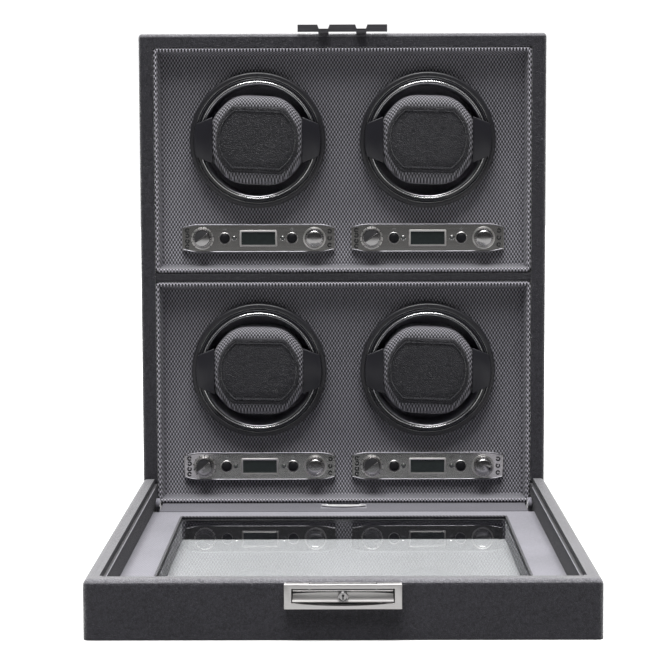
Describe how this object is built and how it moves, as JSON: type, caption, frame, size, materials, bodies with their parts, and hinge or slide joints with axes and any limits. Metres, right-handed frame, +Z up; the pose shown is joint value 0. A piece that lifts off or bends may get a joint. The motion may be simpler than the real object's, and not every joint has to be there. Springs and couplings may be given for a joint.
{
  "type": "watch winder box",
  "caption": "Upright leather-covered winder case with turning drums that hold padded watch cuffs, and a glazed cover hinged at its foot, lying open in front.",
  "frame": {"origin": "centre of the case's foot, on the table", "axes": "+Z up, +X to the right seen from the front, +Y from the open cover back into the case"},
  "size_m": [0.324, 0.5948, 0.4008],
  "materials": {
    "case_leather": "pebbled leather over board",
    "module_cloth": "fine diamond weave over a moulded tray",
    "lining_suede": "suede",
    "gusset_suede": "suede",
    "rail_leather": "smooth leather over board",
    "black_plastic": "satin",
    "gloss_black": "gloss",
    "gunmetal": "brushed, dark",
    "nickel": "brushed nickel",
    "polished": "polished",
    "window": "clear, tempered",
    "display": "dark green-black",
    "cuff_cloth": "fine diamond weave over foam",
    "board_green": "circuit board",
    "zinc": "zinc plated",
    "bronze": "sintered bronze",
    "belt_rubber": "matt"
  },
  "bodies": {
    "case": {"case_sides": "case_leather", "case_top": "case_leather", "case_base": "case_leather", "case_back": "case_leather", "dc_inlet": "black_plastic", "module_divider": "rail_leather", "lower_module_panel": "module_cloth", "upper_module_panel": "module_cloth", "hinge_arms": "zinc", "pull_tab": "polished", "catch_plate": "nickel", "bezel_rings": "black_plastic", "control_plates": "gunmetal", "display_windows": "display", "circuit_boards": "board_green", "motor_brackets": "zinc", "gear_motors": "zinc", "spindle_bearings": "bronze", "drive_belts": "belt_rubber"},
    "cover": {"cover_frame": "case_leather", "cover_side_walls": "case_leather", "cover_front_wall": "case_leather", "window_glass": "window", "cover_lining": "lining_suede", "hinge_gusset": "gusset_suede", "lock_case": "nickel"},
    "lock_lever": {"lock_lever": "nickel"},
    "key_plug": {"key_plug": "nickel"},
    "drum_1": {"drum_cup_1": "black_plastic"},
    "motor_1": {"motor_pulley_1": "black_plastic"},
    "cuff_1": {"cuff_bracket_1": "gloss_black", "cuff_cushion_1": "cuff_cloth"},
    "drum_2": {"drum_cup_2": "black_plastic"},
    "motor_2": {"motor_pulley_2": "black_plastic"},
    "cuff_2": {"cuff_bracket_2": "gloss_black", "cuff_cushion_2": "cuff_cloth"},
    "drum_3": {"drum_cup_3": "black_plastic"},
    "motor_3": {"motor_pulley_3": "black_plastic"},
    "cuff_3": {"cuff_bracket_3": "gloss_black", "cuff_cushion_3": "cuff_cloth"},
    "drum_4": {"drum_cup_4": "black_plastic"},
    "motor_4": {"motor_pulley_4": "black_plastic"},
    "cuff_4": {"cuff_bracket_4": "gloss_black", "cuff_cushion_4": "cuff_cloth"},
    "knob_left_1": {"knob_left_1": "gunmetal"},
    "button_left_1": {"button_left_1": "gloss_black"},
    "knob_right_1": {"knob_right_1": "gunmetal"},
    "button_right_1": {"button_right_1": "gloss_black"},
    "knob_left_2": {"knob_left_2": "gunmetal"},
    "button_left_2": {"button_left_2": "gloss_black"},
    "knob_right_2": {"knob_right_2": "gunmetal"},
    "button_right_2": {"button_right_2": "gloss_black"},
    "knob_left_3": {"knob_left_3": "gunmetal"},
    "button_left_3": {"button_left_3": "gloss_black"},
    "knob_right_3": {"knob_right_3": "gunmetal"},
    "button_right_3": {"button_right_3": "gloss_black"},
    "knob_left_4": {"knob_left_4": "gunmetal"},
    "button_left_4": {"button_left_4": "gloss_black"},
    "knob_right_4": {"knob_right_4": "gunmetal"},
    "button_right_4": {"button_right_4": "gloss_black"}
  },
  "joints": [
    {"name": "cover_hinge", "type": "hinge", "parent": "case", "child": "cover", "pos_m": [0, -0.1165, 0.0202], "axis": [-1, 0, 0], "range_deg": [0, 90]},
    {"name": "lock_lever_press", "type": "hinge", "parent": "cover", "child": "lock_lever", "pos_m": [0, -0.4938, 0.0327], "axis": [1, 0, 0], "range_deg": [0, 13], "stiffness_Nm_per_rad": 0.15},
    {"name": "key_turn", "type": "hinge", "parent": "lock_lever", "child": "key_plug", "pos_m": [0, -0.4938, 0.028], "axis": [0, 1, 0], "range_deg": [0, 90]},
    {"name": "drum_spin_1", "type": "hinge", "parent": "case", "child": "drum_1", "pos_m": [-0.068, -0.0985, 0.3098], "axis": [0, 1, 0], "continuous": true},
    {"name": "motor_spin_1", "type": "hinge", "parent": "case", "child": "motor_1", "pos_m": [-0.068, -0.0985, 0.2618], "axis": [0, 1, 0], "continuous": true},
    {"name": "cuff_slide_1", "type": "slide", "parent": "drum_1", "child": "cuff_1", "axis": [0, 1, 0], "range_m": [-0.045, 0]},
    {"name": "drum_spin_2", "type": "hinge", "parent": "case", "child": "drum_2", "pos_m": [0.068, -0.0985, 0.3098], "axis": [0, 1, 0], "continuous": true},
    {"name": "motor_spin_2", "type": "hinge", "parent": "case", "child": "motor_2", "pos_m": [0.068, -0.0985, 0.2618], "axis": [0, 1, 0], "continuous": true},
    {"name": "cuff_slide_2", "type": "slide", "parent": "drum_2", "child": "cuff_2", "axis": [0, 1, 0], "range_m": [-0.045, 0]},
    {"name": "drum_spin_3", "type": "hinge", "parent": "case", "child": "drum_3", "pos_m": [-0.068, -0.0985, 0.1249], "axis": [0, 1, 0], "continuous": true},
    {"name": "motor_spin_3", "type": "hinge", "parent": "case", "child": "motor_3", "pos_m": [-0.068, -0.0985, 0.0769], "axis": [0, 1, 0], "continuous": true},
    {"name": "cuff_slide_3", "type": "slide", "parent": "drum_3", "child": "cuff_3", "axis": [0, 1, 0], "range_m": [-0.045, 0]},
    {"name": "drum_spin_4", "type": "hinge", "parent": "case", "child": "drum_4", "pos_m": [0.068, -0.0985, 0.1249], "axis": [0, 1, 0], "continuous": true},
    {"name": "motor_spin_4", "type": "hinge", "parent": "case", "child": "motor_4", "pos_m": [0.068, -0.0985, 0.0769], "axis": [0, 1, 0], "continuous": true},
    {"name": "cuff_slide_4", "type": "slide", "parent": "drum_4", "child": "cuff_4", "axis": [0, 1, 0], "range_m": [-0.045, 0]},
    {"name": "knob_turn_left_1", "type": "hinge", "parent": "case", "child": "knob_left_1", "pos_m": [-0.113, -0.0985, 0.2313], "axis": [0, 1, 0], "range_deg": [-135, 135]},
    {"name": "button_press_left_1", "type": "slide", "parent": "case", "child": "button_left_1", "axis": [0, 1, 0], "range_m": [0, 0.001], "stiffness_N_per_m": 400},
    {"name": "knob_turn_right_1", "type": "hinge", "parent": "case", "child": "knob_right_1", "pos_m": [-0.023, -0.0985, 0.2313], "axis": [0, 1, 0], "range_deg": [-135, 135]},
    {"name": "button_press_right_1", "type": "slide", "parent": "case", "child": "button_right_1", "axis": [0, 1, 0], "range_m": [0, 0.001], "stiffness_N_per_m": 400},
    {"name": "knob_turn_left_2", "type": "hinge", "parent": "case", "child": "knob_left_2", "pos_m": [0.023, -0.0985, 0.2313], "axis": [0, 1, 0], "range_deg": [-135, 135]},
    {"name": "button_press_left_2", "type": "slide", "parent": "case", "child": "button_left_2", "axis": [0, 1, 0], "range_m": [0, 0.001], "stiffness_N_per_m": 400},
    {"name": "knob_turn_right_2", "type": "hinge", "parent": "case", "child": "knob_right_2", "pos_m": [0.113, -0.0985, 0.2313], "axis": [0, 1, 0], "range_deg": [-135, 135]},
    {"name": "button_press_right_2", "type": "slide", "parent": "case", "child": "button_right_2", "axis": [0, 1, 0], "range_m": [0, 0.001], "stiffness_N_per_m": 400},
    {"name": "knob_turn_left_3", "type": "hinge", "parent": "case", "child": "knob_left_3", "pos_m": [-0.113, -0.0985, 0.0462], "axis": [0, 1, 0], "range_deg": [-135, 135]},
    {"name": "button_press_left_3", "type": "slide", "parent": "case", "child": "button_left_3", "axis": [0, 1, 0], "range_m": [0, 0.001], "stiffness_N_per_m": 400},
    {"name": "knob_turn_right_3", "type": "hinge", "parent": "case", "child": "knob_right_3", "pos_m": [-0.023, -0.0985, 0.0462], "axis": [0, 1, 0], "range_deg": [-135, 135]},
    {"name": "button_press_right_3", "type": "slide", "parent": "case", "child": "button_right_3", "axis": [0, 1, 0], "range_m": [0, 0.001], "stiffness_N_per_m": 400},
    {"name": "knob_turn_left_4", "type": "hinge", "parent": "case", "child": "knob_left_4", "pos_m": [0.023, -0.0985, 0.0462], "axis": [0, 1, 0], "range_deg": [-135, 135]},
    {"name": "button_press_left_4", "type": "slide", "parent": "case", "child": "button_left_4", "axis": [0, 1, 0], "range_m": [0, 0.001], "stiffness_N_per_m": 400},
    {"name": "knob_turn_right_4", "type": "hinge", "parent": "case", "child": "knob_right_4", "pos_m": [0.113, -0.0985, 0.0462], "axis": [0, 1, 0], "range_deg": [-135, 135]},
    {"name": "button_press_right_4", "type": "slide", "parent": "case", "child": "button_right_4", "axis": [0, 1, 0], "range_m": [0, 0.001], "stiffness_N_per_m": 400}
  ],
  "couplings": [
    {"joint": "motor_spin_1", "follows": "drum_spin_1", "ratio": 6},
    {"joint": "motor_spin_2", "follows": "drum_spin_2", "ratio": 6},
    {"joint": "motor_spin_3", "follows": "drum_spin_3", "ratio": 6},
    {"joint": "motor_spin_4", "follows": "drum_spin_4", "ratio": 6}
  ]
}
